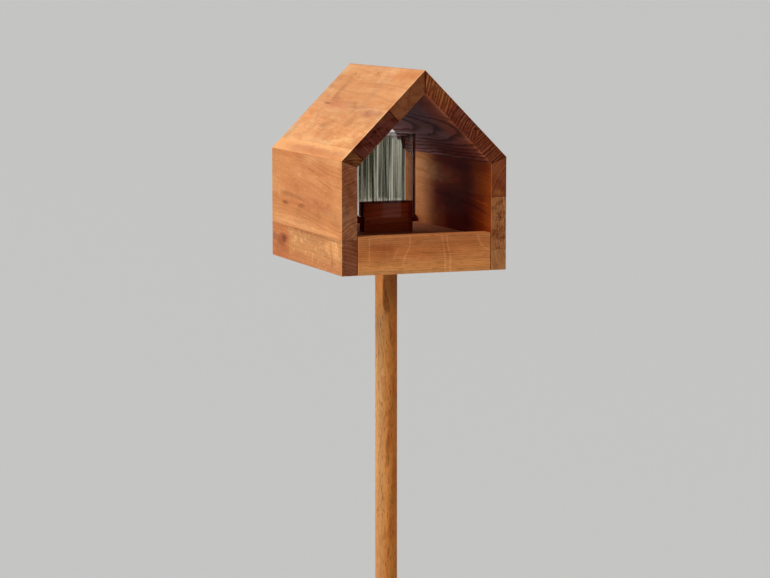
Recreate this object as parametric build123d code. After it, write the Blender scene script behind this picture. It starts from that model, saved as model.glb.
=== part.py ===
"""Oak bird feeder on a round pole: a five-sided house, open in front and behind, with a clear seed tube.

Millimetres. X runs to the right seen from the front, Y from the front to the back, Z up.
The origin is the middle of the pole's foot, at ground level.
"""
from build123d import *
import os
from math import cos, radians, sin, sqrt, tan

# The house
house_width = 290.0
house_depth = 360.0
wall_height = 188.0          # from the underside to the outer edge of the eave
roof_pitch = 45.0            # degrees
board = 27.0                 # thickness of the walls and the roof
arris = 1.0                  # radius of every eased edge

# Boards glued edge to edge in each panel, as widths from the named edge
left_wall_foot_board = 58.0
right_wall_foot_board = 35.0
right_wall_eave_board = 66.0
left_roof_ridge_board = 91.0
left_roof_eave_board = 26.0
right_roof_ridge_board = 75.0
right_roof_eave_board = 62.0

# The floor and the low boards that close the tray
floor_thickness = 27.0
floor_recess = 26.0          # the floor's underside above the house's underside
floor_board_count = 3
tray_board_height = 63.0
tray_board_thickness = 27.0
tray_board_gap = 1.0         # at each end, beside the wall

# The seed tube, the block inside it and the dowel that carries it
tube_outer_diameter = 100.0
tube_wall = 4.0
tube_length = 139.0
block_thickness = 24.0
block_height = 51.0
block_clearance = 0.3        # from the block's corners to the tube's bore
dowel_diameter = 12.0
dowel_height = 21.0          # its axis above the floor
dowel_reach = 4.5            # beyond the tube, at each end
dowel_clearance = 0.1

# The pole and the block that holds its top under the floor
ground_to_house = 1200.0
pole_diameter = 38.0
pole_foot_chamfer = 1.5
socket_width = 110.0
pole_clearance = 0.2

# Places that follow from the sizes
pitch = radians(roof_pitch)
half_width = house_width / 2
front = -house_depth / 2
back = house_depth / 2
ridge_height = wall_height + half_width * tan(pitch)
inner_half_width = half_width - board
inner_eave_height = wall_height - board * (1 - sin(pitch)) / cos(pitch)
inner_ridge_height = ridge_height - board / cos(pitch)
roof_length = half_width / cos(pitch)
floor_top = ground_to_house + floor_recess + floor_thickness
dowel_axis = floor_top + dowel_height
tube_bottom = dowel_axis + dowel_diameter / 2
bore_radius = tube_outer_diameter / 2 - tube_wall


def prism(outline, low, high):
    """A solid through the house from one depth to the other, from an outline of X and height points."""
    points = [(x, low, ground_to_house + height) for x, height in outline]
    face = make_face(Polyline(*points, close=True))
    return extrude(face, amount=high - low, dir=(0, 1, 0))


def upright_box(width, depth, height, x=0.0, y=0.0, bottom=0.0):
    """A box centred on X and Y that stands on the given height."""
    return Pos(x, y, bottom) * Box(width, depth, height, align=(Align.CENTER, Align.CENTER, Align.MIN))


def mirrored(outline):
    """The same outline on the left side."""
    return [(-x, height) for x, height in outline]


def right_outline():
    """The right half of the house's section, down its outside and back up its inside."""
    return [
        (0.0, ridge_height),
        (half_width, wall_height),
        (half_width, 0.0),
        (inner_half_width, 0.0),
        (inner_half_width, inner_eave_height),
        (0.0, inner_ridge_height),
    ]


def shell():
    """Walls and roof in one piece, with all the edges eased that a hand can reach."""
    right = right_outline()
    left = mirrored(right)[1:-1]
    body = prism(right + left[::-1], front, back)
    inside_corners = [
        (x, ground_to_house + height)
        for x, height in (right[4], right[5], left[3])
    ]

    def is_inside_corner(edge):
        middle = edge.center()
        along = abs(edge.tangent_at(0.5).Y) > 0.5
        return along and any(
            abs(middle.X - x) < arris and abs(middle.Z - z) < arris for x, z in inside_corners
        )

    edges = [edge for edge in body.edges() if not is_inside_corner(edge)]
    return fillet(edges, arris)


def level_plane(height):
    """A level plane at a height above the house's underside, facing up."""
    return Plane(origin=(0, 0, ground_to_house + height), z_dir=(0, 0, 1))


def mitre_plane(side):
    """The plane of the mitre at one eave, facing the roof. A side is 1 on the right and -1 on the left."""
    drop = wall_height - inner_eave_height
    return Plane(
        origin=(side * half_width, 0, ground_to_house + wall_height),
        z_dir=(-side * drop, 0, board),
    )


def slope_plane(side, along):
    """A plane square to one roof slope, at a distance from the ridge, facing the eave."""
    downhill = (side * cos(pitch), 0, -sin(pitch))
    origin = (along * downhill[0], 0, ground_to_house + ridge_height + along * downhill[2])
    return Plane(origin=origin, z_dir=downhill)


def sliced(panel, planes):
    """The boards of a panel in order, between planes that face along it."""
    boards = []
    rest = panel
    for plane in planes:
        boards.append(split(rest, bisect_by=plane, keep=Keep.BOTTOM))
        rest = split(rest, bisect_by=plane, keep=Keep.TOP)
    return boards + [rest]


def shell_boards():
    """The walls and the roof, cut at the ridge, at the mitred eaves and at their glue lines."""
    whole = shell()
    middle = Plane(origin=(0, 0, 0), z_dir=(1, 0, 0))
    right_half = split(whole, bisect_by=middle, keep=Keep.TOP)
    left_half = split(whole, bisect_by=middle, keep=Keep.BOTTOM)
    left_wall, left_roof = sliced(left_half, [mitre_plane(-1)])
    right_wall, right_roof = sliced(right_half, [mitre_plane(1)])
    left_wall_joints = [level_plane(left_wall_foot_board)]
    right_wall_joints = [
        level_plane(right_wall_foot_board),
        level_plane(wall_height - right_wall_eave_board),
    ]
    left_roof_joints = [
        slope_plane(-1, left_roof_ridge_board),
        slope_plane(-1, roof_length - left_roof_eave_board),
    ]
    right_roof_joints = [
        slope_plane(1, right_roof_ridge_board),
        slope_plane(1, roof_length - right_roof_eave_board),
    ]
    panels = [
        ("left_wall", left_wall, left_wall_joints, ["foot", "top"]),
        ("right_wall", right_wall, right_wall_joints, ["foot", "middle", "top"]),
        ("left_roof", left_roof, left_roof_joints, ["ridge", "middle", "eave"]),
        ("right_roof", right_roof, right_roof_joints, ["ridge", "middle", "eave"]),
    ]
    boards = {}
    for panel_name, panel, joints, places in panels:
        for place, solid in zip(places, sliced(panel, joints)):
            boards[f"{panel_name}_{place}_board"] = solid
    return boards


def floor_boards():
    """Boards of the floor, side by side between the walls and end to end between the tray boards."""
    width = 2 * inner_half_width / floor_board_count
    length = house_depth - 2 * tray_board_thickness
    boards = {}
    for number in range(floor_board_count):
        x = -inner_half_width + (number + 0.5) * width
        boards[f"floor_board_{number + 1}"] = upright_box(
            width, length, floor_thickness, x=x, bottom=floor_top - floor_thickness
        )
    return boards


def tray_board(y):
    """A low board between the walls, flush with their ends, that keeps the seed on the floor."""
    width = 2 * (inner_half_width - tray_board_gap)
    solid = upright_box(width, tray_board_thickness, tray_board_height, y=y, bottom=ground_to_house)
    return fillet(solid.edges(), arris)


def silo_tube():
    """The clear tube that holds the seed; its lower rim stands on the dowel."""
    outside = Cylinder(tube_outer_diameter / 2, tube_length, align=(Align.CENTER, Align.CENTER, Align.MIN))
    bore = Cylinder(bore_radius, tube_length, align=(Align.CENTER, Align.CENTER, Align.MIN))
    return Pos(0, 0, tube_bottom) * (outside - bore)


def silo_block():
    """The upright block inside the tube, as wide as the bore lets its corners be, drilled for the dowel."""
    reach = bore_radius - block_clearance
    width = 2 * sqrt(reach ** 2 - (block_thickness / 2) ** 2)
    solid = upright_box(width, block_thickness, block_height, bottom=floor_top)
    solid = fillet(solid.edges(), arris)
    hole = Cylinder(dowel_diameter / 2 + dowel_clearance, tube_outer_diameter)
    return solid - Pos(0, 0, dowel_axis) * Rot(0, 90, 0) * hole


def silo_dowel():
    """The cross dowel through the block that carries the tube's rim at both sides."""
    length = tube_outer_diameter + 2 * dowel_reach
    rod = Cylinder(dowel_diameter / 2, length)
    rod = chamfer(rod.edges(), arris)
    return Pos(0, 0, dowel_axis) * Rot(0, 90, 0) * rod


def pole():
    """The round pole, from the ground to the underside of the floor."""
    length = ground_to_house + floor_recess
    rod = Cylinder(pole_diameter / 2, length, align=(Align.CENTER, Align.CENTER, Align.MIN))
    foot = rod.edges().sort_by(Axis.Z)[0]
    return chamfer(foot, pole_foot_chamfer)


def pole_socket():
    """The block under the floor that the top of the pole is let into."""
    solid = upright_box(socket_width, socket_width, floor_recess, bottom=ground_to_house)
    lower_edges = solid.edges().group_by(Axis.Z)[0] + solid.edges().filter_by(Axis.Z)
    solid = fillet(lower_edges, arris)
    hole = Cylinder(pole_diameter / 2 + pole_clearance, 4 * floor_recess)
    return solid - Pos(0, 0, ground_to_house) * hole


def all_pieces():
    """Every piece of the feeder, by its name."""
    inset = tray_board_thickness / 2
    pieces = {}
    pieces.update(shell_boards())
    pieces.update(floor_boards())
    pieces["front_board"] = tray_board(front + inset)
    pieces["back_board"] = tray_board(back - inset)
    pieces["silo_tube"] = silo_tube()
    pieces["silo_block"] = silo_block()
    pieces["silo_dowel"] = silo_dowel()
    pieces["pole"] = pole()
    pieces["pole_socket"] = pole_socket()
    return pieces


os.makedirs("parts", exist_ok=True)
for name, piece in all_pieces().items():
    export_step(piece, f"parts/{name}.step")
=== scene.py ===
"""Dresses the oak bird feeder: oiled oak with its rings, pores and knots, a clear seed tube, and soft light.

The finishes measure in millimetres in the feeder's own frame. Blender's objects are in metres.
"""
import math

import bmesh
import bpy
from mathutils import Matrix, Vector


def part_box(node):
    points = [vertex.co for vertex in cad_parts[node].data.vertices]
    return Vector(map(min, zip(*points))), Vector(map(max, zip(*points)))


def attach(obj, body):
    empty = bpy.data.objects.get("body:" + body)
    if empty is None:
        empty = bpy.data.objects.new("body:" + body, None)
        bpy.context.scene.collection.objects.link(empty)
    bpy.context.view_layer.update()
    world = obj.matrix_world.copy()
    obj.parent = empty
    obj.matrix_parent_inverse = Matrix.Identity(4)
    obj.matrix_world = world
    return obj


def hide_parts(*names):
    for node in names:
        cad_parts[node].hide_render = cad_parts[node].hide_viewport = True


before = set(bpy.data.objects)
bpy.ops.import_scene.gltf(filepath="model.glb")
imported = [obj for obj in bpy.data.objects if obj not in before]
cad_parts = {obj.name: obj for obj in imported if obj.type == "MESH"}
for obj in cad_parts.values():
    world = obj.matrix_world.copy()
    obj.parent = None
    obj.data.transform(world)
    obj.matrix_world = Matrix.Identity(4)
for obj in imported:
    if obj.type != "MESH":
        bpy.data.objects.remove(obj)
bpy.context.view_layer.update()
MM = 0.001
X, Y, Z = 0, 1, 2


class Value:
    """A socket that takes part in arithmetic; each operation adds its own Math node."""

    def __init__(self, nodes, socket):
        self.nodes = nodes
        self.socket = socket

    def calculate(self, operation, *others):
        """The result of one Math node."""
        inputs = dict(enumerate((self, *others)))
        return self.nodes.node("ShaderNodeMath", {"operation": operation}, inputs)

    def __add__(self, other):
        return self.calculate("ADD", other)

    def __sub__(self, other):
        return self.calculate("SUBTRACT", other)

    def __rsub__(self, other):
        return self.calculate("MULTIPLY_ADD", -1.0, other)

    def __mul__(self, other):
        return self.calculate("MULTIPLY", other)

    def __truediv__(self, other):
        return self.calculate("DIVIDE", other)

    __radd__ = __add__
    __rmul__ = __mul__

    def abs(self):
        return self.calculate("ABSOLUTE")

    def fract(self):
        return self.calculate("FRACT")

    def floor(self):
        return self.calculate("FLOOR")

    def root(self):
        return self.calculate("SQRT")

    def most(self, other):
        return self.calculate("MAXIMUM", other)

    def rise(self, start, end):
        """0 at the start and 1 at the end, smooth between; the start may be the larger one."""
        settings = {"interpolation_type": "SMOOTHSTEP"}
        inputs = {0: self, 1: start, 2: end, 3: 0.0, 4: 1.0}
        return self.nodes.node("ShaderNodeMapRange", settings, inputs)

    def ramp(self, start, end, low=0.0, high=1.0):
        """The low value up to the start, the high one from the end on, and straight between."""
        inputs = {0: self, 1: start, 2: end, 3: low, 4: high}
        return self.nodes.node("ShaderNodeMapRange", {"clamp": True}, inputs)


class Nodes:
    """A tree of nodes, and the one way to add to it."""

    def __init__(self, tree):
        self.tree = tree

    def node(self, kind, settings=None, inputs=None, output=0):
        """One node: its settings are set first, then the values or links of its sockets."""
        made = self.tree.nodes.new(kind)
        for key, value in (settings or {}).items():
            setattr(made, key, value)
        for key, value in (inputs or {}).items():
            self.feed(made.inputs[key], value)
        return Value(self, made.outputs[output])

    def feed(self, socket, value):
        """Links a value to a socket, or sets plain numbers on it."""
        if isinstance(value, Value):
            self.tree.links.new(value.socket, socket)
        else:
            socket.default_value = value

    def parts(self, vector):
        """The three numbers of a vector."""
        made = self.node("ShaderNodeSeparateXYZ", None, {0: vector}).socket.node
        return [Value(self, socket) for socket in made.outputs]


class Shader(Nodes):
    """A material: its nodes, and the finish that they feed."""

    def __init__(self, name):
        self.material = bpy.data.materials.new(name)
        self.material.use_nodes = True
        super().__init__(self.material.node_tree)
        self.finish = self.tree.nodes["Principled BSDF"]

    def set(self, **inputs):
        """Feeds sockets of the finish; an underscore stands for a space."""
        for key, value in inputs.items():
            self.feed(self.finish.inputs[key.replace("_", " ")], value)

    def place(self):
        """The point in the feeder's frame, in millimetres."""
        point = self.node("ShaderNodeTexCoord", output="Object")
        inputs = {0: point, "Scale": 1 / MM}
        return self.parts(self.node("ShaderNodeVectorMath", {"operation": "SCALE"}, inputs))

    def facing(self):
        """The way the surface faces."""
        return self.parts(self.node("ShaderNodeTexCoord", output="Normal"))

    def noise(self, x, y, z, detail=2.0, roughness=0.5, output="Fac"):
        """Noise with cells one unit across in the coordinates given."""
        point = self.node("ShaderNodeCombineXYZ", None, {0: x, 1: y, 2: z})
        inputs = {"Vector": point, "Scale": 1.0, "Detail": detail, "Roughness": roughness}
        return self.node("ShaderNodeTexNoise", None, inputs, output)

    def noise_line(self, x, detail=1.0):
        """Noise along a line, with cells one unit long."""
        inputs = {"W": x, "Scale": 1.0, "Detail": detail}
        return self.node("ShaderNodeTexNoise", {"noise_dimensions": "1D"}, inputs, "Fac")

    def random(self, x):
        """A number from 0 to 1 that is another one for each value."""
        return self.node("ShaderNodeTexWhiteNoise", {"noise_dimensions": "1D"}, {"W": x}, "Value")

    def mix(self, factor, first, second, blend="MIX"):
        """A colour between two colours, or the first with the second worked into it."""
        settings = {"data_type": "RGBA", "blend_type": blend}
        return self.node("ShaderNodeMix", settings, {0: factor, 6: colour(first), 7: colour(second)}, 2)

    def tint(self, tone, factor, by):
        """A colour multiplied by another, as far as the factor says."""
        return self.mix(factor, tone, by, "MULTIPLY")

    def bump(self, height, metres, strength):
        """A surface direction from a height of 0 to 1 that stands for a distance in metres."""
        inputs = {"Strength": strength, "Distance": metres, "Height": height}
        return self.node("ShaderNodeBump", None, inputs)


def colour(value):
    """A colour socket takes four numbers; a linked colour stays as it is."""
    return value if isinstance(value, Value) else (*value, 1.0)


def total(terms):
    """The sum of some values."""
    terms = list(terms)
    result = terms[0]
    for term in terms[1:]:
        result = result + term
    return result


def distance(offsets):
    """How long a vector of values is."""
    return total(offset * offset for offset in offsets).root()


def away_from(middle, half, place):
    """How far a place is from the middle of a round patch or knot: 1 is its edge."""
    return distance((part - centre) / size for part, centre, size in zip(place, middle, half))


def dot(values, vector):
    """How far three values reach along a vector of plain numbers."""
    used = [(value, amount) for value, amount in zip(values, vector) if amount]
    return total(value if amount == 1 else value * amount for value, amount in used)


# The house's own sizes in millimetres, from the frame

def corners(node):
    """A node's lowest and highest corner."""
    low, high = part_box(node)
    return [part / MM for part in low], [part / MM for part in high]


ROOF_PITCH = 45
DIAGONAL = math.sqrt(0.5)    # across and up the roof's slope, for one unit of its length
wall_low, wall_high = corners("left_wall_foot_board")
half_width = -wall_low[X]
front_depth = wall_low[Y]
underside = wall_low[Z]
thickness = wall_high[X] - wall_low[X]
left_joint = wall_high[Z]
right_low_joint = corners("right_wall_foot_board")[1][Z]
right_high_joint = corners("right_wall_middle_board")[1][Z]
eave_height = corners("left_wall_top_board")[1][Z]
ridge_height = eave_height + half_width
inner_half_width = half_width - thickness
inner_ridge_height = ridge_height - thickness / DIAGONAL


# Directions, and the sides that marks are drawn on

LEFT, RIGHT = (-1, 0, 0), (1, 0, 0)
FORWARD, BACKWARD = (0, -1, 0), (0, 1, 0)
UP = (0, 0, 1)
UP_LEFT = (-DIAGONAL, 0, DIAGONAL)
DOWN_LEFT = (-DIAGONAL, 0, -DIAGONAL)
DOWN_RIGHT = (DIAGONAL, 0, -DIAGONAL)


class Side:
    """A flat side: the point it is measured from, the axes along and across it, and the way it faces."""

    def __init__(self, start, along, across, outward):
        self.start = start
        self.along = along
        self.across = across
        self.outward = outward

    def measure(self, place, axis):
        """How far a place lies from the start, along one of the axes."""
        return dot(place, axis) - sum(part * amount for part, amount in zip(self.start, axis))


LEFT_WALL = Side((-half_width, 0, underside), BACKWARD, UP, LEFT)
LEFT_ROOF = Side((0, 0, ridge_height), BACKWARD, DOWN_LEFT, UP_LEFT)
RIGHT_WALL_INSIDE = Side((inner_half_width, 0, underside), BACKWARD, UP, LEFT)
RIGHT_CEILING = Side((0, 0, inner_ridge_height), BACKWARD, DOWN_RIGHT, DOWN_LEFT)
FRONT = Side((0, front_depth, underside), RIGHT, UP, FORWARD)
LEFT_EDGE = Side((0, front_depth, ridge_height), DOWN_LEFT, DOWN_RIGHT, FORWARD)
RIGHT_EDGE = Side((0, front_depth, ridge_height), DOWN_RIGHT, DOWN_LEFT, FORWARD)
POLE_LEFT = Side((0, 0, underside), RIGHT, UP, LEFT)
POLE_FRONT = Side((0, 0, underside), RIGHT, UP, (0.30, -0.95, 0))
POLE_RIGHT = Side((0, 0, underside), RIGHT, UP, (DIAGONAL, -DIAGONAL, 0))


# Oak: two tones, and tints that are worked into them. A tint above 1 makes the oak paler.

PALE_OAK = (0.70, 0.31, 0.125)
WARM_OAK = (0.60, 0.23, 0.080)
RING_TINT = (0.62, 0.46, 0.38)
LATE_WOOD_TINT = (2.4, 2.7, 2.5)
FIBRE_TINT = (0.76, 0.66, 0.58)
PORE_TINT = (0.46, 0.35, 0.29)
RAY_TINT = (1.18, 1.28, 1.42)
END_RAY_TINT = (1.25, 1.3, 1.35)
END_MOTTLE_TINT = (0.55, 0.42, 0.42)
DARK_BLUSH = (0.94, 0.80, 0.72)
PALE_BLUSH = (1.04, 1.14, 1.20)
KNOT_TINT = (0.36, 0.26, 0.22)
ARRIS_PAINTED_HIGHLIGHT = (1.35, 1.38, 1.32)
JOINT_TINT = (0.12, 0.07, 0.06)
BROWN = (0.66, 0.56, 0.50)
DARK = (0.40, 0.29, 0.24)
REDDER = (0.98, 0.80, 0.64)
PALER = (1.10, 1.18, 1.28)
FLECK = (1.22, 1.38, 1.60)
PLAIN = (1.0, 1.0, 1.0)

FIBRE_DEPTH = 0.35
DARK_FIGURE_DEPTH = 0.4
PALE_FIGURE_DEPTH = 0.5
KNOT_DEPTH = 0.85
END_RAY_DEPTH = 0.35
ARRIS_HIGHLIGHT_DEPTH = 0.9
KNOT_LENGTH = 2.6            # along the grain, for a width of 1
KNOT_BEND = 1.2              # how many rings wide the bend round a knot is
QUICK_STRAY = 1.6            # how far the rings stray quickly
SEED_STEP = 37.0             # how far along the tree the figure moves for one step of a board's seed
RELIEF = 0.25 * MM           # from the bottom of a pore to the planed surface
RELIEF_STRENGTH = 0.55
OIL = 0.3                    # weight of the thin coat of oil, which end grain soaks up
OIL_ROUGHNESS = 0.34


class Board:
    """How one board was sawn and what it shows. Lengths are in millimetres, and depths from 0 to 1."""

    ring = 4.5                   # from one ring to the next
    lean = (0, 0)                # how far the middle of the tree moves over a metre of the board
    wander = 8.0                 # how far the rings stray
    tone = PLAIN                 # worked into the whole board
    end = (0.5, 0.4, 0.4)        # worked into its end grain
    inner = PLAIN                # painted shade and light worked into the side that faces the way that inward says, partly darker unoiled wood
    inward = None
    contrast = 0.5               # depth of the early wood in each ring
    lines = 0.3                  # depth of the late wood on end grain
    rays = 0.5                   # depth of the pale flecks of the rays
    mottle = 0.4                 # depth of the dark mottle on end grain
    even = 0.15                  # how much the rings are alike
    open_pores = 0.45            # depth of the pores
    dashes = (24.0, 1.1, 0.4)    # long pores: their length, their width and how strong they are
    blush = 0.0                  # depth of the clouds of darker and paler tone
    joints = ()                  # its glue lines and mitres
    knots = ()                   # the middle of each one in the feeder's frame, and its half width
    marks = ()                   # what is drawn on its sides

    def __init__(self, node, grain, pith, **given):
        """grain is the axis that the fibres follow, and pith where the middle of the tree lies across the
        grain from the board's own middle."""
        self.node = node
        self.grain = grain
        self.pith = pith
        for name, value in given.items():
            assert hasattr(self, name), name
            setattr(self, name, value)
        self.seed = sum(map(ord, node)) % 97    # keeps its figure apart from the other boards'


class Wood(Shader):
    """The oak of one board while its figure and marks are drawn."""

    def __init__(self, board, name):
        super().__init__(name)
        self.here = self.place()
        self.toward = self.facing()
        self.measured = {}

        # The place from the board's middle, along the fibres and both ways across them
        low, high = corners(board.node)
        middle = [(a + b) / 2 for a, b in zip(low, high)]
        first, second = [axis for axis in (X, Y, Z) if axis != board.grain]
        self.run = self.here[board.grain] - middle[board.grain]
        self.side = self.here[first] - middle[first]
        self.deep = self.here[second] - middle[second]
        self.along = self.run + SEED_STEP * board.seed

        # Slow and quick noises that stray the rings, a cloud and fibres that fray the marks, and two that
        # vary the tone: bands along the board and patches of figure
        self.slow = self.parts(self.grain_noise(210.0, 70.0, output="Color"))
        self.quick = self.parts(self.grain_noise(30.0, 12.0, 1.0, output="Color"))
        self.cloud = self.grain_noise(26.0, 11.0, 3.0, 0.6)
        self.fibre = self.grain_noise(45.0, 1 / 0.55, 3.0, 0.65)
        self.band = self.grain_noise(260.0, 24.0)
        self.figure = self.grain_noise(55.0, 40.0, 3.0, 0.6)

    def grain_noise(self, length, width, detail=2.0, roughness=0.5, output="Fac"):
        """Noise with cells of one length along the fibres and one width across them."""
        place = self.along / length, self.side / width, self.deep / width
        return self.noise(*place, detail, roughness, output)

    def on(self, side):
        """Where the point lies along and across a side, and how far the surface faces that side's way."""
        if side not in self.measured:
            along = side.measure(self.here, side.along)
            across = side.measure(self.here, side.across)
            shows = dot(self.toward, side.outward).rise(0.45, 0.75)
            self.measured[side] = along, across, shows
        return self.measured[side]


# Marks: each one says how strongly it shows at a point, and its tint

def blot(side, middle, half, tint, depth=1.0, ragged=0.5):
    """A soft-edged patch, centred along and across a side, of the half sizes given.

    depth is how strongly it shows, and ragged how frayed its edge is.
    """
    def paint(wood):
        along, across, shows = wood.on(side)
        reach = away_from(middle, half, (along, across))
        reach = reach + (wood.cloud - 0.5) * (ragged * 2.4) + (wood.fibre - 0.5) * ragged
        return reach.rise(1.15, 0.35) * shows * depth, tint
    return paint


def zone(side, start, end, tint, depth=1.0, up=False):
    """A change of tone that begins at one place along a side, or up it, and is full at another."""
    def paint(wood):
        along, across, shows = wood.on(side)
        return (across if up else along).rise(start, end) * shows * depth, tint
    return paint


def streak(side, points, width, tint, depth=1.0, fade=8.0, wander=1.5, upright=False):
    """A line through points along and across a side.

    fade says how far from each end it begins and ends to show, and wander how far it strays.
    """
    def paint(wood):
        along, across, shows = wood.on(side)
        run, offset = (across, along) if upright else (along, across)
        route = sorted(point[::-1] if upright else point for point in points)
        gap = offset - route[0][1]
        for (start, low), (end, high) in zip(route, route[1:]):
            if low != high:
                gap = gap - run.ramp(start, end) * (high - low)
        gap = gap + (wood.noise_line(run * 0.07 + points[0][0], 2.0) - 0.5) * (2 * wander)
        inside = gap.abs().rise(0.75 * width, 0.2 * width)
        first, last = route[0][0], route[-1][0]
        ends = run.rise(first - fade, first + fade) * run.rise(last + fade, last - fade)
        return inside * ends * shows * depth, tint
    return paint


def speckle(side, middle, half, size, tint, depth=1.0):
    """A soft-edged patch of small dashes; size says how long they are along and across the side."""
    def paint(wood):
        along, across, shows = wood.on(side)
        reach = away_from(middle, half, (along, across))
        dashes = wood.noise(along / size[0], across / size[1], middle[0], 1.0).rise(0.53, 0.62)
        return dashes * reach.rise(1.2, 0.6) * shows * depth, tint
    return paint


def loops(side, middle, deep, lean, ring, tint):
    """The nested loops that the rings draw where a board is sawn close to the middle of the tree.

    middle is where the middle of the tree lies across the side, deep how far it lies below it, and lean how
    much nearer it comes over one millimetre along the side.
    """
    def paint(wood):
        along, across, shows = wood.on(side)
        u = across - middle + (wood.slow[1] - 0.5) * 24.0 + (wood.quick[1] - 0.5) * 6.0
        v = deep - along * lean + (wood.slow[2] - 0.5) * 6.0 + (wood.quick[0] - 0.5) * 2.0
        inside = (distance([u, v]) / ring).fract()
        line = inside.rise(0.55, 0.04).most(inside.rise(0.86, 1.0))
        return line * u.rise(-46.0, -20.0) * shows, tint
    return paint


# The figure of the oak

def place_in_tree(wood, board):
    """How far each point was from the middle of the tree and at what turn, and how much of it is knot.

    The trunk is never straight: its rings stray slowly along it, and quickly by a little, and bend round
    each knot.
    """
    offsets = []
    for number, offset in enumerate((wood.side, wood.deep)):
        leaning = wood.run * (board.lean[number] * MM)
        slowly = (wood.slow[number] - 0.5) * (2 * board.wander)
        quickly = (wood.quick[number] - 0.5) * QUICK_STRAY
        offsets.append(offset - board.pith[number] - leaning + slowly + quickly)
    knots = []
    for spot, size in board.knots:
        half = [size * KNOT_LENGTH if axis == board.grain else size for axis in (X, Y, Z)]
        away = away_from(spot, half, wood.here)
        bend = away.rise(3.5, 0.5) * (board.ring * KNOT_BEND)
        offsets = [offset + bend for offset in offsets]
        knots.append((away + (wood.quick[2] - 0.5) * 0.7).rise(1.25, 0.5))
    u, v = offsets
    return distance(offsets), v.calculate("ARCTAN2", u), knots


def ring_wood(wood, board, radius):
    """The porous early wood and the dense late wood of the rings, some of which are stronger than others."""
    rings = radius / board.ring
    rings = rings + (wood.noise_line(rings * 0.31 + board.seed) - 0.5) * 1.6
    inside = rings.fract()
    chance = wood.random(rings.floor() + board.seed)
    strength = chance.rise(0.1, 1.1) * (1.0 - board.even) + board.even
    early = inside.rise(0.48, 0.04).most(inside.rise(0.94, 1.0)) * strength
    late = inside.rise(0.42, 0.60) * inside.rise(0.98, 0.82) * strength * wood.cloud.rise(0.28, 0.46)
    return early, late


def pores_of(wood, board, early):
    """The open pores, most of them in the early wood, and the long ones that lie in the surface."""
    short = wood.grain_noise(8.0, 1 / 1.7, 1.0).rise(0.57, 0.68)
    length, width, strength = board.dashes
    long = wood.grain_noise(length, width, 1.0).rise(0.58, 0.72)
    return (short * (early * 0.7 + 0.2)).most(long * strength)


def joint_line(wood, joint, end):
    """How strongly a glue line or a mitre shows at each point."""
    normal, offset, width, face_depth, end_depth = joint
    gap = (dot(wood.here, normal) - offset).abs()
    depth = end * (end_depth - face_depth) + face_depth
    return gap.rise(width / 2 + 0.3, width / 2 - 0.1) * depth


def oak(board, name=None):
    """The finish of one board: its figure follows from its place in the tree."""
    wood = Wood(board, name or board.node + "_oak")
    radius, turn, knots = place_in_tree(wood, board)
    early, late = ring_wood(wood, board, radius)
    pores = pores_of(wood, board, early)
    rays = wood.noise(wood.along / 9.0, turn * 80.0, radius / 14.0, 1.0).rise(0.58, 0.68)
    end_rays = wood.noise(turn * 120.0, radius / 30.0, wood.along / 60.0, 1.0).rise(0.52, 0.66)

    # End grain faces along the fibres, and an eased arris between that way and the one across them
    across_grain = wood.toward[board.grain].abs()
    end = across_grain.rise(0.70, 0.95)
    arris = across_grain.rise(0.10, 0.35) * across_grain.rise(0.97, 0.80)

    # Each wash is how strongly it shows and its tint
    washes = [
        (early * board.contrast, RING_TINT),
        (wood.fibre.rise(0.48, 0.72) * FIBRE_DEPTH, FIBRE_TINT),
        (wood.figure.rise(0.48, 0.75) * DARK_FIGURE_DEPTH, BROWN),
        (wood.figure.rise(0.42, 0.25) * PALE_FIGURE_DEPTH, PALER),
        (rays * board.rays * (1.0 - end), RAY_TINT),
        (pores * ((1.0 - 0.55 * end) * board.open_pores), PORE_TINT),
    ]
    if board.blush:
        washes.append((wood.cloud.rise(0.46, 0.62) * board.blush, DARK_BLUSH))
        washes.append((wood.cloud.rise(0.46, 0.34) * board.blush, PALE_BLUSH))
    washes += [mark(wood) for mark in board.marks]
    washes += [(knot * KNOT_DEPTH, KNOT_TINT) for knot in knots]
    washes += [
        (1.0, board.tone),
        (end, board.end),
        (end * late * board.lines, LATE_WOOD_TINT),
        (end * wood.cloud.rise(0.42, 0.68) * board.mottle, END_MOTTLE_TINT),
        (end * end_rays * END_RAY_DEPTH, END_RAY_TINT),
    ]
    oiled = (1.0 - end) * OIL
    # Painted shade and light on the faces inside the house, where the oil is also thinner
    if board.inward:
        inner = dot(wood.toward, board.inward).rise(0.35, 0.75)
        washes.append((inner, board.inner))
        oiled = oiled * (1.0 - inner * 0.8)
    # A painted highlight along every eased arris
    washes.append((arris * ARRIS_HIGHLIGHT_DEPTH, ARRIS_PAINTED_HIGHLIGHT))
    washes += [(joint_line(wood, joint, end), JOINT_TINT) for joint in board.joints]

    tone = wood.mix(wood.band.rise(0.30, 0.70), PALE_OAK, WARM_OAK)
    for mask, tint in washes:
        tone = wood.tint(tone, mask, tint)
    relief = 0.6 - pores * 0.5 - early * 0.12 + (wood.fibre - 0.5) * 0.3
    wood.set(
        Base_Color=tone,
        Roughness=0.44 + pores * 0.25 + end * 0.16 + (wood.band - 0.5) * 0.12,
        Normal=wood.bump(relief, RELIEF, RELIEF_STRENGTH),
        Specular_IOR_Level=0.0,
        Coat_Weight=oiled,
        Coat_Roughness=OIL_ROUGHNESS,
    )
    return wood.material


# Glue lines and mitres: a normal, an offset along it, a width, and how dark it is on faces and on end grain

def level_joint(height, width=0.6, face=0.35, end=0.5):
    """A glue line of a wall."""
    return UP, height, width, face, end


def slope_joint(side, node, width=0.6, face=0.30, end=0.6):
    """The glue line at the lower end of a roof board, square to the slope; side is 1 right and -1 left."""
    low, high = corners(node)
    outer = max(abs(low[X]), abs(high[X]))    # where its outer face ends
    return (side * DIAGONAL, 0, -DIAGONAL), DIAGONAL * (2 * outer - ridge_height), width, face, end


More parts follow.
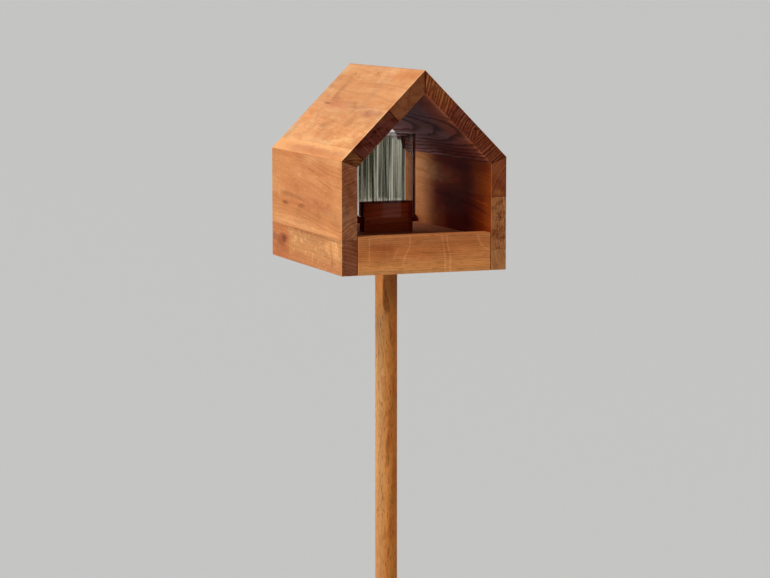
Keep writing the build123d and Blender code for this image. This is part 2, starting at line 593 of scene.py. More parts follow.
def mitre_joint(side):
    """The mitre at one eave, from the outer edge down into the corner inside; side is 1 right and -1 left."""
    lean = math.radians(ROOF_PITCH / 2)
    normal = (side * math.sin(lean), 0, -math.cos(lean))
    return normal, normal[0] * side * half_width + normal[2] * eave_height, 1.0, 0.0, 0.75


ridge_line = RIGHT, 0.0, 2.2, 0.2, 0.8
left_mitre = mitre_joint(-1)
right_mitre = mitre_joint(1)
left_wall_line = level_joint(left_joint, 0.8, end=0.6)
right_wall_low_line = level_joint(right_low_joint)
right_wall_high_line = level_joint(right_high_joint)
left_ridge_board_line = slope_joint(-1, "left_roof_ridge_board", 1.0, 0.15, 0.85)
left_eave_board_line = slope_joint(-1, "left_roof_middle_board", face=0.12)
right_ridge_board_line = slope_joint(1, "right_roof_ridge_board", face=0.25, end=0.2)
right_eave_board_line = slope_joint(1, "right_roof_middle_board", face=0.25, end=0.2)


# The marks of each board, with places and sizes along and across its side

LEFT_WALL_FOOT_MARKS = [
    streak(LEFT_WALL, [(130, 61), (20, 56.5), (-176, 54)], 4.5, BROWN, 0.75, 14, 1.0),
    zone(LEFT_WALL, 89, 93, (0.99, 0.84, 0.76)),
    blot(LEFT_WALL, (113, 36), (40, 20), (0.92, 0.72, 0.66), 0.8, 0.8),
    blot(LEFT_WALL, (114, 34), (16, 9), (0.70, 0.52, 0.46), 0.8, 1.0),
    blot(LEFT_WALL, (132, 34), (46, 13), (0.70, 0.66, 0.66), 0.9, 0.3),
    blot(LEFT_WALL, (132, 18), (46, 14), (0.84, 0.86, 0.95), 0.9, 0.3),
    blot(LEFT_WALL, (111, 38), (13, 10), (0.74, 0.70, 0.64), 0.9, 0.3),
    blot(LEFT_WALL, (166, 36), (12, 10), (0.68, 0.66, 1.00), 0.9, 0.3),
    blot(LEFT_WALL, (-104, 38), (14, 9), (1.22, 1.28, 1.32), 0.9, 0.3),
    blot(LEFT_WALL, (-138, 44), (44, 20), (1.25, 1.33, 1.40), 0.9, 0.3),
    zone(LEFT_WALL, 28, 6, (1.05, 1.00, 1.10), 0.8, up=True),
    blot(LEFT_WALL, (0, 47), (95, 9), (0.93, 0.98, 1.1), 0.6),
    speckle(LEFT_WALL, (40, 42), (60, 14), (13.0, 9.0), (1.22, 1.40, 1.60), 0.9),
    speckle(LEFT_WALL, (-90, 36), (50, 14), (15.0, 9.0), (1.16, 1.30, 1.45), 0.8),
    streak(LEFT_WALL, [(-150, 50), (-158, 8)], 18, PALER, 0.9, upright=True),
    streak(LEFT_WALL, [(-128, 50), (-132, 8)], 10, BROWN, 0.35, upright=True),
]

LEFT_WALL_TOP_MARKS = [
    zone(LEFT_WALL, 122, 132, (0.97, 1.02, 1.00)),
    streak(LEFT_WALL, [(138, 100), (138, 162)], 5, PALER, 0.6, upright=True),
    streak(LEFT_WALL, [(122, 115), (60, 113), (10, 109)], 7, DARK, 0.34, 26, 2.0),
    blot(LEFT_WALL, (60, 99), (110, 9), (0.99, 0.94, 0.88), 0.8, 0.8),
    blot(LEFT_WALL, (-110, 98), (66, 9), (0.85, 0.84, 0.82), 0.9),
    blot(LEFT_WALL, (108, 114), (34, 8), (0.86, 0.80, 0.74), 0.9),
    blot(LEFT_WALL, (60, 133), (95, 20), (0.94, 0.86, 0.80), 0.8),
    blot(LEFT_WALL, (-160, 150), (38, 40), (1.10, 1.22, 1.32), 0.9, 0.3),
    blot(LEFT_WALL, (-135, 66), (50, 12), (1.16, 1.22, 1.28), 0.9),
    blot(LEFT_WALL, (20, 70), (60, 8), (0.89, 0.89, 0.88), 0.8),
    blot(LEFT_WALL, (107, 98), (20, 5), DARK, 0.75, 0.6),
    blot(LEFT_WALL, (21, 100), (24, 4), DARK, 0.5, 0.9),
    blot(LEFT_WALL, (-116, 111), (22, 4), BROWN, 0.45, 0.9),
    zone(FRONT, 118, 106, (1.12, 1.26, 1.24), up=True),
    # A painted highlight along the top of the wall under the eave
    streak(LEFT_WALL, [(5, 182), (-172, 182)], 11, (1.12, 1.30, 1.5), 0.9, 12),
    streak(LEFT_WALL, [(79, 157), (-36, 142), (-150, 127)], 3, PALER, 0.75, 14),
    streak(LEFT_WALL, [(60, 146), (-60, 129), (-160, 112)], 3, PALER, 0.6, 14),
    streak(LEFT_WALL, [(-5, 165), (-77, 158)], 4, BROWN, 0.45, 26, 2.5),
    streak(LEFT_WALL, [(-60, 150), (-145, 135)], 3.5, BROWN, 0.5, 26, 2.5),
    blot(LEFT_WALL, (-48, 105), (70, 12), (0.95, 0.90, 0.98), 0.8),
    blot(LEFT_WALL, (0, 122), (150, 26), (0.92, 0.90, 0.89), 0.9),
    blot(LEFT_WALL, (-10, 86), (120, 16), (0.90, 0.93, 0.95), 0.8),
    streak(LEFT_WALL, [(160, 75), (-125, 72)], 4, PALER, 0.55, 14),
    streak(LEFT_WALL, [(165, 66), (-165, 63)], 7, (1.10, 1.22, 1.36), 0.85, 14),
]

# A painted highlight along the top of the left roof's front edge
ROOF_FRONT_PAINTED_HIGHLIGHT = zone(LEFT_ROOF, front_depth + 3.5, front_depth + 1.2, (1.18, 1.3, 1.5))
LEFT_ROOF_RIDGE_MARKS = [
    ROOF_FRONT_PAINTED_HIGHLIGHT,
    blot(LEFT_ROOF, (106, 22), (4, 3), DARK, 0.8),
    blot(LEFT_ROOF, (7, 16), (4, 2.5), DARK, 0.8),
    zone(LEFT_ROOF, 148, 158, (0.95, 1.02, 1.10)),
    blot(LEFT_ROOF, (104, 62), (15, 28), (0.82, 0.77, 0.72), 0.9),
    blot(LEFT_ROOF, (-115, 86), (62, 7), (1.07, 1.20, 1.35), 0.9),
    blot(LEFT_ROOF, (35, 30), (60, 16), (1.07, 1.14, 1.20), 0.8),
    blot(LEFT_ROOF, (15, 86), (60, 6), (0.88, 0.80, 0.76), 0.9),
    blot(LEFT_ROOF, (85, 84), (30, 8), (0.86, 0.82, 0.84), 0.9),
    blot(LEFT_ROOF, (112, 40), (20, 34), BROWN, 0.22, 0.8),
    blot(LEFT_ROOF, (-56, 56), (18, 40), BROWN, 0.2, 0.8),
    blot(LEFT_ROOF, (-30, 40), (9, 40), PALER, 0.4, 0.8),
    zone(LEFT_ROOF, -72, -80, (0.99, 0.93, 0.86)),
    blot(LEFT_ROOF, (-125, 18), (60, 14), REDDER, 0.5),
    blot(LEFT_ROOF, (80, 88), (60, 12), (0.92, 0.78, 0.74), 0.8, 0.9),
]

LEFT_ROOF_PALE_EAVE = zone(LEFT_ROOF, 100, 150, (1.11, 1.11, 1.06), up=True)
LEFT_ROOF_MIDDLE_MARKS = [
    ROOF_FRONT_PAINTED_HIGHLIGHT,
    speckle(LEFT_EDGE, (140, 12), (26, 9), (3.0, 6.0), (0.40, 0.30, 0.34), 0.9),
    blot(LEFT_EDGE, (104, 5), (12, 5), (1.2, 1.5, 0.7), 0.8),
    LEFT_ROOF_PALE_EAVE,
    blot(LEFT_ROOF, (112, 93), (20, 3), DARK, 0.7, 0.8),
    blot(LEFT_ROOF, (80, 94), (60, 12), (0.92, 0.78, 0.74), 0.8, 0.9),
    streak(LEFT_ROOF, [(100, 93), (35, 94)], 8, (0.84, 0.72, 0.74), 0.8, 20, 3.0),
    streak(LEFT_ROOF, [(8, 95), (-72, 93)], 6, BROWN, 0.6, 20, 3.0),
    blot(LEFT_ROOF, (45, 140), (26, 5), BROWN, 0.5, 1.2),
    blot(LEFT_ROOF, (10, 128), (22, 5), BROWN, 0.5, 1.2),
    blot(LEFT_ROOF, (60, 125), (18, 4), BROWN, 0.45, 1.2),
    blot(LEFT_ROOF, (-112, 103), (34, 10), (0.80, 0.72, 0.85), 0.9),
    blot(LEFT_ROOF, (29, 142), (34, 15), BROWN, 0.45),
    blot(LEFT_ROOF, (-62, 124), (22, 14), BROWN, 0.4),
    blot(LEFT_ROOF, (-115, 148), (50, 28), PALER, 0.5),
    blot(LEFT_ROOF, (148, 120), (20, 28), REDDER, 0.9),
    blot(LEFT_ROOF, (-155, 101), (26, 8), (0.78, 0.73, 0.76), 0.9),
    blot(LEFT_ROOF, (-120, 121), (26, 13), (1.08, 1.18, 1.24), 0.9),
    blot(LEFT_ROOF, (105, 160), (16, 9), (1.13, 1.20, 1.22), 0.9),
    blot(LEFT_ROOF, (-40, 101), (62, 7), (0.88, 0.84, 0.82), 0.9),
    blot(LEFT_ROOF, (-60, 130), (24, 9), (0.90, 0.84, 0.80), 0.8),
    blot(LEFT_ROOF, (-100, 165), (60, 16), (1.12, 1.22, 1.22), 0.9),
    blot(LEFT_ROOF, (163, 158), (16, 28), (0.80, 0.84, 0.92), 0.9),
    blot(LEFT_ROOF, (20, 176), (30, 6), (0.90, 0.80, 0.78), 0.8),
]

LEFT_ROOF_EAVE_MARKS = [
    ROOF_FRONT_PAINTED_HIGHLIGHT,
    LEFT_ROOF_PALE_EAVE,
    blot(LEFT_ROOF, (15, 195), (165, 11), (0.77, 0.64, 0.65), 0.9, 0.7),
    blot(LEFT_ROOF, (-142, 193), (34, 9), (0.82, 0.76, 0.80), 0.9),
]

RIGHT_EDGE_MARKS = [
    blot(RIGHT_EDGE, (40, 8), (34, 10), (1.04, 1.08, 0.95), 0.9),
    blot(RIGHT_EDGE, (40, 23), (50, 6), (0.92, 0.78, 0.95), 0.9),
    blot(RIGHT_EDGE, (76, 12), (9, 14), (1.15, 0.95, 1.1), 0.9, 0.8),
    blot(RIGHT_EDGE, (110, 22), (30, 6), (0.85, 0.75, 0.9), 0.9),
    blot(RIGHT_EDGE, (128, 12), (18, 7), (1.05, 0.95, 0.9), 0.8, 0.8),
]

CEILING_LOOPS_AND_PAINTED_LIGHT = [
    # The rings' loops, then painted light and shade: a cold dark tone near the ridge, warm red low on the
    # slope and towards the front, and a paler front end
    loops(RIGHT_CEILING, middle=92, deep=28.3, lean=0.08, ring=8.3, tint=(0.38, 0.31, 0.33)),
    blot(RIGHT_CEILING, (-30, 142), (110, 34), (0.64, 0.24, 0.17), 0.95, 0.2),
    blot(RIGHT_CEILING, (-30, 60), (120, 30), (0.86, 0.83, 0.94), 0.8, 0.2),
    blot(RIGHT_CEILING, (-60, 20), (120, 26), (0.62, 0.68, 0.90), 0.8),
    zone(RIGHT_CEILING, -60, -130, (1.0, 0.55, 0.35)),
    zone(RIGHT_CEILING, -158, -172, (1.5, 1.6, 1.1)),
]

RIGHT_ROOF_MARKS = CEILING_LOOPS_AND_PAINTED_LIGHT + RIGHT_EDGE_MARKS

RIGHT_WALL_PAINTED_SHADE_AND_LIGHT = [
    # Painted shade over the front and middle of the inside face, and painted light at its front end
    zone(RIGHT_WALL_INSIDE, 140, 50, (0.240, 0.066, 0.063)),
    zone(RIGHT_WALL_INSIDE, -70, -125, (2.18, 3.6, 1.45)),
]

RIGHT_WALL_TOP_PAINTED_LIGHT = [
    # A paler spot on the front end, then painted light and shade on the inside face: pale pools around the
    # middle, a warm one further forward, and painted shade along the top under the ceiling
    blot(FRONT, (133, 129), (12, 6), (1.4, 1.6, 1.2), 0.9),
    blot(RIGHT_WALL_INSIDE, (30, 146), (75, 24), (1.65, 2.4, 2.4), 0.9),
    blot(RIGHT_WALL_INSIDE, (50, 148), (26, 24), (1.05, 1.85, 1.90), 0.9, 0.3),
    blot(RIGHT_WALL_INSIDE, (-30, 136), (42, 9), (1.35, 1.15, 0.80), 0.9, 0.3),
    blot(RIGHT_WALL_INSIDE, (-30, 166), (70, 12), (0.74, 0.52, 0.58), 0.9, 0.3),
    blot(RIGHT_WALL_INSIDE, (-140, 168), (45, 13), (0.72, 0.60, 0.75), 0.9, 0.3),
    blot(RIGHT_WALL_INSIDE, (20, 140), (36, 14), (1.12, 1.60, 1.70), 0.9, 0.5),
]

RIGHT_WALL_MIDDLE_GRAIN_AND_PAINTED_LIGHT = [
    # Speckles on the front end and grain lines on the inside face, with painted shade and light: darker
    # towards the front and middle, a pale pool behind the middle, and a paler front end
    speckle(FRONT, (132, 78), (14, 44), (2.6, 9.0), (0.62, 0.50, 0.46), 0.8),
    zone(RIGHT_WALL_INSIDE, 80, 20, (0.78, 0.55, 0.5)),
    blot(RIGHT_WALL_INSIDE, (-95, 90), (40, 40), (0.8, 0.7, 0.6), 0.9),
    blot(RIGHT_WALL_INSIDE, (-10, 102), (60, 16), (0.74, 0.45, 0.30), 0.9, 0.3),
    blot(RIGHT_WALL_INSIDE, (42, 68), (34, 26), (1.60, 3.10, 2.90), 0.9, 0.5),
    streak(RIGHT_WALL_INSIDE, [(75, 113), (-10, 109)], 7, (0.62, 0.42, 0.45), 0.9, 14, 3.0),
    streak(RIGHT_WALL_INSIDE, [(-50, 106), (-95, 102), (-160, 93)], 4, (0.50, 0.40, 0.45), 0.8, 14, 3.0),
    streak(RIGHT_WALL_INSIDE, [(-60, 116), (-165, 107)], 3, (1.50, 1.80, 1.20), 0.9, 14, 2.0),
    streak(RIGHT_WALL_INSIDE, [(-80, 84), (-165, 74)], 3, (1.35, 1.60, 1.20), 0.8, 14, 3.0),
    zone(RIGHT_WALL_INSIDE, -135, -165, (1.25, 1.70, 2.20)),
    blot(RIGHT_WALL_INSIDE, (-75, 100), (30, 20), (1.25, 0.65, 0.40), 0.9, 0.3),
]


def board_fleck(points, width, depth):
    """A pale fleck of a ray that stands upright in the front board."""
    return streak(FRONT, points, width, FLECK, depth, fade=4, wander=1.0, upright=True)


FRONT_BOARD_MARKS = [
    blot(FRONT, (-75, 44), (34, 10), (0.92, 0.80, 0.76), 0.9),
    blot(FRONT, (-8, 30), (26, 9), (0.94, 0.84, 0.80), 0.8),
    blot(FRONT, (85, 36), (34, 9), (1.08, 1.14, 1.20), 0.8),
    blot(FRONT, (-52, 20), (34, 9), (0.88, 0.84, 0.80), 0.9),
    blot(FRONT, (75, 63), (44, 5), (0.82, 0.80, 0.88), 0.9),
    blot(FRONT, (-58, 64), (62, 5), (1.10, 1.22, 1.38), 0.9),
    zone(FRONT, 10, 4, (0.88, 0.92, 1.0), up=True),
    zone(FRONT, 30, 8, (1.14, 1.24, 1.2), up=True),
    zone(FRONT, 36, 50, (0.82, 0.78, 0.78), up=True),
    board_fleck([(-97, 62), (-97, 22)], 2.6, 0.8),
    board_fleck([(-66, 58), (-66, 20)], 2.2, 0.4),
    board_fleck([(-26, 62), (-27, 44), (-36, 26), (-38, 14)], 3.2, 0.8),
    board_fleck([(-47, 42), (-56, 24)], 3.2, 0.7),
    board_fleck([(30, 62), (33, 42), (36, 26), (36, 2)], 3.2, 0.9),
    board_fleck([(39, 60), (41, 42), (45, 28), (45, 2)], 3.2, 0.9),
    board_fleck([(94, 62), (96, 51), (103, 41), (116, 33)], 3.2, 0.9),
]

POLE_SHADE = (0.84, 0.66, 0.58)
POLE_PAINTED_LIGHT_AND_PATCHES = [
    # Painted light and shade: a paler cool left side and a warmer darker right side, painted light at the top
    # of the left side and a painted shadow at the top of the front, then darker patches down the front
    zone(POLE_LEFT, 30, 25, (0.86, 1.06, 1.50)),
    zone(POLE_RIGHT, -30, -25, (0.95, 0.85, 0.52)),
    zone(POLE_LEFT, -115, -45, (1.90, 1.72, 1.39), up=True),
    zone(POLE_FRONT, -115, -40, (0.51, 0.49, 0.40), up=True),
    blot(POLE_FRONT, (6, -120), (7, 34), POLE_SHADE, 0.9, 0.8),
    blot(POLE_FRONT, (7, -215), (6, 26), POLE_SHADE, 0.9, 0.8),
    blot(POLE_FRONT, (1, -290), (6, 36), (0.86, 0.70, 0.60), 0.9, 0.8),
    blot(POLE_FRONT, (10, -370), (7, 40), POLE_SHADE, 0.9, 0.8),
    blot(POLE_FRONT, (4, -460), (7, 36), POLE_SHADE, 0.9, 0.8),
]

SILO_BLOCK_PAINTED_SHADE = [
    # Painted shade on the block's front: a dark top edge, a dark right end with a darker band before it, and
    # a cooler darker part below the tube's rim
    zone(FRONT, 101, 103, (0.2, 0.15, 0.15), up=True),
    zone(FRONT, 41, 44, (0.2, 0.12, 0.12)),
    zone(FRONT, 35, 37.5, (0.86, 0.50, 0.55)),
    zone(FRONT, 84, 72, (0.72, 0.8, 0.85), up=True),
]

# What the boards of one panel share
# The inner tints: darker inside the left wall and under the left roof, partly painted shade; painted light
# inside the right wall; painted cold light on the ceiling under the right roof
left_wall = dict(inner=(0.50, 0.30, 0.22), inward=RIGHT)
right_wall = dict(inner=(1.10, 1.17, 1.25), inward=LEFT, contrast=0.4)
left_roof = dict(inner=(0.52, 0.40, 0.42), inward=DOWN_RIGHT, contrast=0.25, rays=0.15)
right_roof = dict(inner=(0.56, 0.74, 2.2), inward=DOWN_LEFT, contrast=0.3, tone=(0.96, 0.93, 0.88))
floor_board = dict(end=(0.6, 0.5, 0.5))
tray_board = dict(wander=4.0, contrast=1.0, rays=0.3, even=0.35, open_pores=0.7, dashes=(20.0, 1.4, 0.8))

BOARDS = [
    Board("left_wall_foot_board", Y, (-30, -140), ring=6.0, lean=(60, 20), wander=5.0,
          tone=(0.91, 0.89, 0.73), end=(0.50, 0.40, 0.60), contrast=0.4, lines=0.35, rays=1.0, mottle=0.5,
          dashes=(16.0, 1.8, 0.6), joints=[left_wall_line], marks=LEFT_WALL_FOOT_MARKS, **left_wall),
    Board("left_wall_top_board", Y, (110, -160), ring=5.6, lean=(0, 110), wander=15.0,
          tone=(1.04, 0.95, 0.79), end=(0.52, 0.47, 0.70), contrast=0.42, lines=0.35, mottle=0.6,
          joints=[left_wall_line, left_mitre], marks=LEFT_WALL_TOP_MARKS, **left_wall),
    Board("right_wall_foot_board", Y, (90, 40), ring=5.0,
          tone=(1.0, 0.98, 0.95), end=(0.92, 1.0, 1.04), lines=0.1,
          joints=[right_wall_low_line], marks=RIGHT_WALL_PAINTED_SHADE_AND_LIGHT, **right_wall),
    Board("right_wall_middle_board", Y, (-130, 10), ring=5.0, lean=(0, 40),
          tone=(0.96, 0.93, 0.88), end=(0.775, 0.735, 0.745), lines=0.4, mottle=1.0,
          knots=[((135, front_depth, underside + 88), 1.8)],
          joints=[right_wall_low_line, right_wall_high_line],
          marks=RIGHT_WALL_PAINTED_SHADE_AND_LIGHT + RIGHT_WALL_MIDDLE_GRAIN_AND_PAINTED_LIGHT, **right_wall),
    Board("right_wall_top_board", Y, (100, -60), ring=5.0, lean=(0, 60),
          tone=(1.0, 0.98, 0.95), end=(0.44, 0.28, 0.28),
          joints=[right_wall_high_line, right_mitre],
          marks=RIGHT_WALL_PAINTED_SHADE_AND_LIGHT + RIGHT_WALL_TOP_PAINTED_LIGHT, **right_wall),
    Board("left_roof_ridge_board", Y, (40, -150), ring=5.0, lean=(30, 20),
          tone=(0.96, 1.06, 1.11), end=(0.457, 0.323, 0.314), lines=0.05, blush=0.5,
          joints=[ridge_line, left_ridge_board_line], marks=LEFT_ROOF_RIDGE_MARKS, **left_roof),
    Board("left_roof_middle_board", Y, (-90, -90), ring=5.0, lean=(50, 40),
          tone=(0.96, 1.08, 1.17), end=(0.206, 0.110, 0.170), lines=0.6, mottle=0.9, blush=0.8,
          joints=[left_ridge_board_line, left_eave_board_line], marks=LEFT_ROOF_MIDDLE_MARKS, **left_roof),
    Board("left_roof_eave_board", Y, (10, -40), ring=5.0, lean=(30, 20), wander=6.0,
          tone=(1.04, 1.14, 1.16), end=(0.255, 0.181, 0.165), lines=0.8, mottle=0.8, blush=0.5,
          joints=[left_eave_board_line, left_mitre], marks=LEFT_ROOF_EAVE_MARKS, **left_roof),
    Board("right_roof_ridge_board", Y, (-300, 85), ring=5.6, lean=(0, 30), wander=3.0,
          end=(0.34, 0.23, 0.23), lines=1.0, even=0.7,
          joints=[ridge_line, right_ridge_board_line], marks=RIGHT_ROOF_MARKS, **right_roof),
    Board("right_roof_middle_board", Y, (70, -50), ring=5.0, lean=(40, -60), wander=5.0,
          end=(0.262, 0.158, 0.22), lines=1.0, mottle=0.9, even=0.6,
          knots=[((89, front_depth, underside + 235), 3.0)],
          joints=[right_ridge_board_line, right_eave_board_line], marks=RIGHT_ROOF_MARKS, **right_roof),
    Board("right_roof_eave_board", Y, (-192, 231), ring=4.2, lean=(0, 30), wander=3.0,
          end=(0.212, 0.119, 0.147), lines=1.3, mottle=0.6, even=0.8,
          joints=[right_eave_board_line, right_mitre], marks=RIGHT_ROOF_MARKS, **right_roof),
    Board("floor_board_1", Y, (20, -90), ring=5.0, tone=(0.70, 0.57, 0.70), **floor_board),
    Board("floor_board_2", Y, (-30, 80), ring=4.0, tone=(0.68, 0.55, 0.67), **floor_board),
    Board("floor_board_3", Y, (60, -60), ring=6.0, tone=(0.72, 0.59, 0.72), **floor_board),
    Board("front_board", X, (60, 300), ring=2.5, lean=(0, 8), tone=(1.34, 1.14, 0.86),
          marks=FRONT_BOARD_MARKS, **tray_board),
    Board("back_board", X, (-50, 280), ring=2.7, lean=(0, 10), tone=(1.26, 1.06, 0.80), **tray_board),
    # The block's nearly black end tint and the dowel's nearly black tone are painted shade
    Board("silo_block", X, (90, 60), ring=4.0, tone=(1.20, 0.46, 0.29), end=(0.2, 0.1, 0.1),
          contrast=0.8, even=0.5, marks=SILO_BLOCK_PAINTED_SHADE),
    Board("silo_dowel", X, (30, 30), ring=3.0, tone=(0.45, 0.12, 0.07), end=(0.6, 0.5, 0.5), contrast=0.4),
    Board("pole", Z, (12, 30), ring=3.0, lean=(2, 5), wander=17.0, tone=(1.36, 1.30, 0.88),
          contrast=0.75, rays=0.1, even=0.4, open_pores=1.0, dashes=(11.0, 1.3, 1.0), marks=POLE_PAINTED_LIGHT_AND_PATCHES),
    Board("pole_socket", X, (30, -90), ring=5.0, tone=(0.85, 0.78, 0.70)),
]
for board in BOARDS:
    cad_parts[board.node].material_slots[0].material = oak(board)


# Pieces that Blender makes

SQUARE = [(-1, -1), (1, -1), (1, 1), (-1, 1)]    # its corners in turn


def turns(count):
    """Equal turns round a circle."""
    return [2 * math.pi * side / count for side in range(count)]


def join_rings(mesh, here, there):
    """Faces between two closed rings of corners."""
    for index in range(len(here)):
        following = (index + 1) % len(here)
        mesh.faces.new((here[index], there[index], there[following], here[following]))


def add_object(name, data):
    """A new object in the scene."""
    made = bpy.data.objects.new(name, data)
    bpy.context.scene.collection.objects.link(made)
    return made


def piece_from(mesh, name, material):
    """A new piece from a finished bmesh, in one material."""
    bmesh.ops.recalc_face_normals(mesh, faces=mesh.faces)
    data = bpy.data.meshes.new(name)
    mesh.to_mesh(data)
    mesh.free()
    data.materials.append(material)
    return add_object(name, data)


# The clear tube

TUBE_WALL = 4 * MM
TUBE_RIM = 0.8 * MM          # radius of its rounded rims
TUBE_SIDES = 360
RIM_STEPS = 4
DIE_WAVES = [                # along the bore: how many go round, their height in millimetres and a turn
    (9, 0.03, 0.0),
    (23, 0.022, 1.1),
    (41, 0.015, 0.4),
]
PAINTED_REFLECTION_DARK = (0.065, 0.07, 0.035)
PAINTED_REFLECTION_PALE = (0.99, 0.99, 0.91)
PLASTIC_PLAIN = (0.90, 0.86, 0.82)
PLASTIC_AT_RIM = (0.40, 0.36, 0.36)
PLAIN_BELOW = (28.0, 23.0)   # above the foot: it turns from streaked to plain between these
PLAIN_SIDE = (0.935, -0.353, 0)
PLAIN_BEYOND = (29.0, 35.0)  # towards its plain side, from the axis: the same
RIM_BAND = (8.0, 2.0)        # below the rim: it darkens between these
PLASTIC_TINT = (0.42, 0.25, 0.15, 1.0)
PLASTIC_DENSITY = 34.0
PLASTIC_IOR = 1.49
PLASTIC_ROUGHNESS = 0.03
PLASTIC_SHEEN = (0.25, 0.25, 0.25, 1.0)


def tube_profile(outer, low, high):
    """The tube's section with its four corners rounded."""
    inner = outer - TUBE_WALL
    roundings = [
        (outer - TUBE_RIM, low + TUBE_RIM, -90),
        (outer - TUBE_RIM, high - TUBE_RIM, 0),
        (inner + TUBE_RIM, high - TUBE_RIM, 90),
        (inner + TUBE_RIM, low + TUBE_RIM, 180),
    ]
    profile = []
    for radius, height, start in roundings:
        for step in range(RIM_STEPS + 1):
            angle = math.radians(start + 90 * step / RIM_STEPS)
            profile.append((radius + TUBE_RIM * math.cos(angle), height + TUBE_RIM * math.sin(angle)))
    return profile


def tube_ring(mesh, profile, turn, middle):
    """The tube's section at one turn, with the die's waves on what lies inside the middle of the wall."""
    wave = sum(height * math.sin(count * turn + start) for count, height, start in DIE_WAVES)
    ring = []
    for radius, height in profile:
        grown = radius + wave * MM if radius < middle else radius
        ring.append(mesh.verts.new((grown * math.cos(turn), grown * math.sin(turn), height)))
    return ring


def clear_tube():
    """The extruded tube, with rounded rims and the faint waves that the die leaves along its bore."""
    low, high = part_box("silo_tube")
    outer = (high.x - low.x) / 2
    profile = tube_profile(outer, low.z, high.z)
    mesh = bmesh.new()
    rings = [tube_ring(mesh, profile, turn, outer - TUBE_WALL / 2) for turn in turns(TUBE_SIDES)]
    for here, there in zip(rings, rings[1:] + rings[:1]):
        join_rings(mesh, here, there)
        for index in range(len(profile)):
            if index % (RIM_STEPS + 1) in (0, RIM_STEPS):
                mesh.edges.get((here[index], there[index])).smooth = False
    tube = piece_from(mesh, "clear_tube", clear_plastic())
    for polygon in tube.data.polygons:
        polygon.use_smooth = True
    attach(tube, "root")
    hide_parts("silo_tube")


def clear_plastic():
    """Clear acrylic with painted streaks of dark and pale reflections, plain near its foot and at one side.
    """
    shader = Shader("clear_tube_plastic")
    place = shader.place()
    x, y, z = place
    low, high = corners("silo_tube")
    turn = y.calculate("ARCTAN2", x)
    # Painted reflections: dark and pale streaks round the tube
    wide = shader.noise(turn * 6.0, z / 260.0, 0.0, 1.0).rise(0.42, 0.56)
    fine = shader.noise(turn * 19.0, z / 180.0, 3.0, 1.0).rise(0.41, 0.57)
    tone = shader.mix(wide * 0.55 + fine * 0.45, PAINTED_REFLECTION_DARK, PAINTED_REFLECTION_PALE)
    plain_foot = (z - low[Z]).rise(*PLAIN_BELOW)
    plain_side = dot(place, PLAIN_SIDE).rise(*PLAIN_BEYOND)
    tone = shader.mix(plain_foot.most(plain_side), tone, PLASTIC_PLAIN)
    tone = shader.mix((high[Z] - z).rise(*RIM_BAND), tone, PLASTIC_AT_RIM)
    shader.set(
        Base_Color=tone,
        Roughness=PLASTIC_ROUGHNESS,
        Transmission_Weight=1.0,
        IOR=PLASTIC_IOR,
        Specular_Tint=PLASTIC_SHEEN,
    )
    inputs = {"Color": PLASTIC_TINT, "Density": PLASTIC_DENSITY}
    inside = shader.node("ShaderNodeVolumeAbsorption", None, inputs)
    shader.feed(shader.tree.nodes["Material Output"].inputs["Volume"], inside)
    return shader.material


clear_tube()


# Plugs over the socket's four fixings

PLUG_SECTION = [(4.2, -0.35), (4.7, -0.2), (5.0, 0.1), (5.0, 1.0)]    # radius and height, upwards
PLUG_SIDES = 40
PLUG_REACH = 38.0            # from the middle of the socket, both ways


def socket_plug(name, x, y, finish):
    """A turned plug that stands a little proud of the socket's underside."""
    mesh = bmesh.new()
    rings = []
    for radius, height in PLUG_SECTION:
        ring = []
        for turn in turns(PLUG_SIDES):
            point = (x + radius * math.cos(turn), y + radius * math.sin(turn), underside + height)
            ring.append(mesh.verts.new([part * MM for part in point]))
        rings.append(ring)
    for lower, upper in zip(rings, rings[1:]):
        join_rings(mesh, lower, upper)
    mesh.faces.new(rings[0])
    mesh.faces.new(rings[-1])
    plug = piece_from(mesh, name, finish)
    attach(plug, "root")


plug_board = Board("pole_socket", Z, (9, 6), ring=2.4, tone=(0.72, 0.60, 0.50), end=(0.9, 0.85, 0.8))
plug_finish = oak(plug_board, "socket_plug_oak")
for number, (x, y) in enumerate(SQUARE, 1):
    socket_plug(f"socket_plug_{number}", x * PLUG_REACH, y * PLUG_REACH, plug_finish)


# Studio, in metres and degrees

LIGHT_AWAY = 3.0
FLOOR_HALF = 400.0
FLOOR_TONE = (0.52, 0.52, 0.51, 1.0)
AIR_TONE = (1.0, 1.0, 0.985, 1.0)
AIR_AT_HORIZON = 0.03
AIR_OVERHEAD = 0.42
AIR_SEEN = 0.56
CAMERA_LENS = 120.1          # millimetres, as the sensor's width is
CAMERA_SENSOR = 36.0
CAMERA_PLACE = (-1.5439, -4.0810, 1.6815)
CAMERA_TURN = 20.697         # to the right
CAMERA_TIP = 6.903           # down
CAMERA_REACH = 1000.0


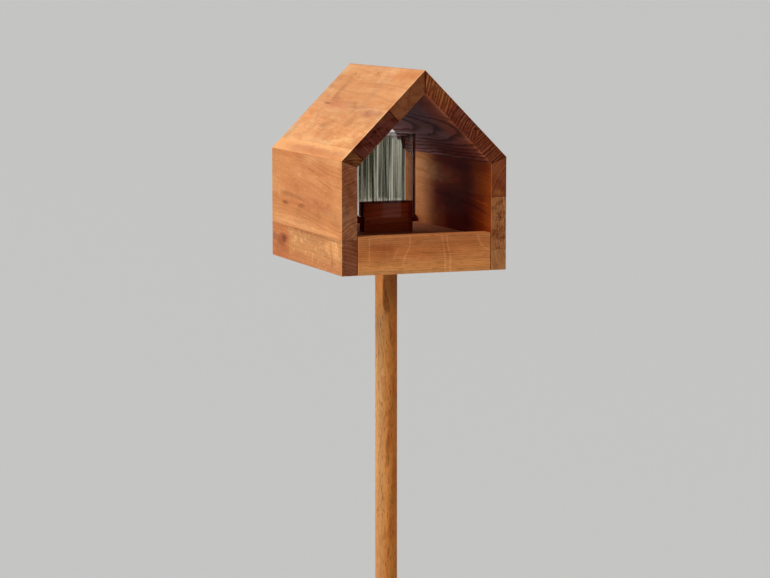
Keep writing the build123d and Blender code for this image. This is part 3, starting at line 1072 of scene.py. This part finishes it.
def pale_floor():
    """A wide pale floor at ground level."""
    data = bpy.data.meshes.new("studio_floor")
    points = [(x * FLOOR_HALF, y * FLOOR_HALF, 0.0) for x, y in SQUARE]
    data.from_pydata(points, [], [(0, 1, 2, 3)])
    shader = Shader("studio_floor_paint")
    shader.set(Base_Color=FLOOR_TONE, Roughness=0.9, Specular_IOR_Level=0.1)
    data.materials.append(shader.material)
    floor = add_object("studio_floor", data)


def soft_light(name, toward, power, spread):
    """A wide distant light that shines one way."""
    data = bpy.data.lights.new(name, "SUN")
    data.energy = power
    data.angle = math.radians(spread)
    light = add_object(name, data)
    light.rotation_euler = Vector(toward).to_track_quat("-Z", "Y").to_euler()
    light.location = -LIGHT_AWAY * Vector(toward)


def studio_air():
    """A pale light from above that fades towards the horizon; looked at, the air is as pale as the floor."""
    world = bpy.data.worlds.new("studio_air")
    world.use_nodes = True
    air = Nodes(world.node_tree)
    height = air.parts(air.node("ShaderNodeTexCoord", output="Generated"))[Z]
    light = height.ramp(0.0, 1.0, AIR_AT_HORIZON, AIR_OVERHEAD)
    looked_at = air.node("ShaderNodeLightPath", output="Is Camera Ray")
    looked_at = looked_at.most(air.node("ShaderNodeLightPath", output="Is Transmission Ray"))
    strength = air.node("ShaderNodeMix", {"data_type": "FLOAT"}, {0: looked_at, 2: light, 3: AIR_SEEN})
    background = air.tree.nodes["Background"]
    air.feed(background.inputs["Color"], AIR_TONE)
    air.feed(background.inputs["Strength"], strength)
    bpy.context.scene.world = world


def camera():
    """The photograph's view: a long lens a little above the roof, from the front left."""
    data = bpy.data.cameras.new("camera")
    data.sensor_width = CAMERA_SENSOR
    data.lens = CAMERA_LENS
    data.clip_end = CAMERA_REACH
    seen = add_object("camera", data)
    seen.location = CAMERA_PLACE
    seen.rotation_euler = (math.radians(90 - CAMERA_TIP), 0.0, -math.radians(CAMERA_TURN))
    bpy.context.scene.camera = seen


pale_floor()
soft_light("key", toward=(0.60, 0.10, -0.79), power=2.4, spread=50)
soft_light("back", toward=(0.60, -0.66, -0.45), power=1.25, spread=60)
studio_air()
camera()
bpy.context.scene.view_settings.view_transform = "Standard"
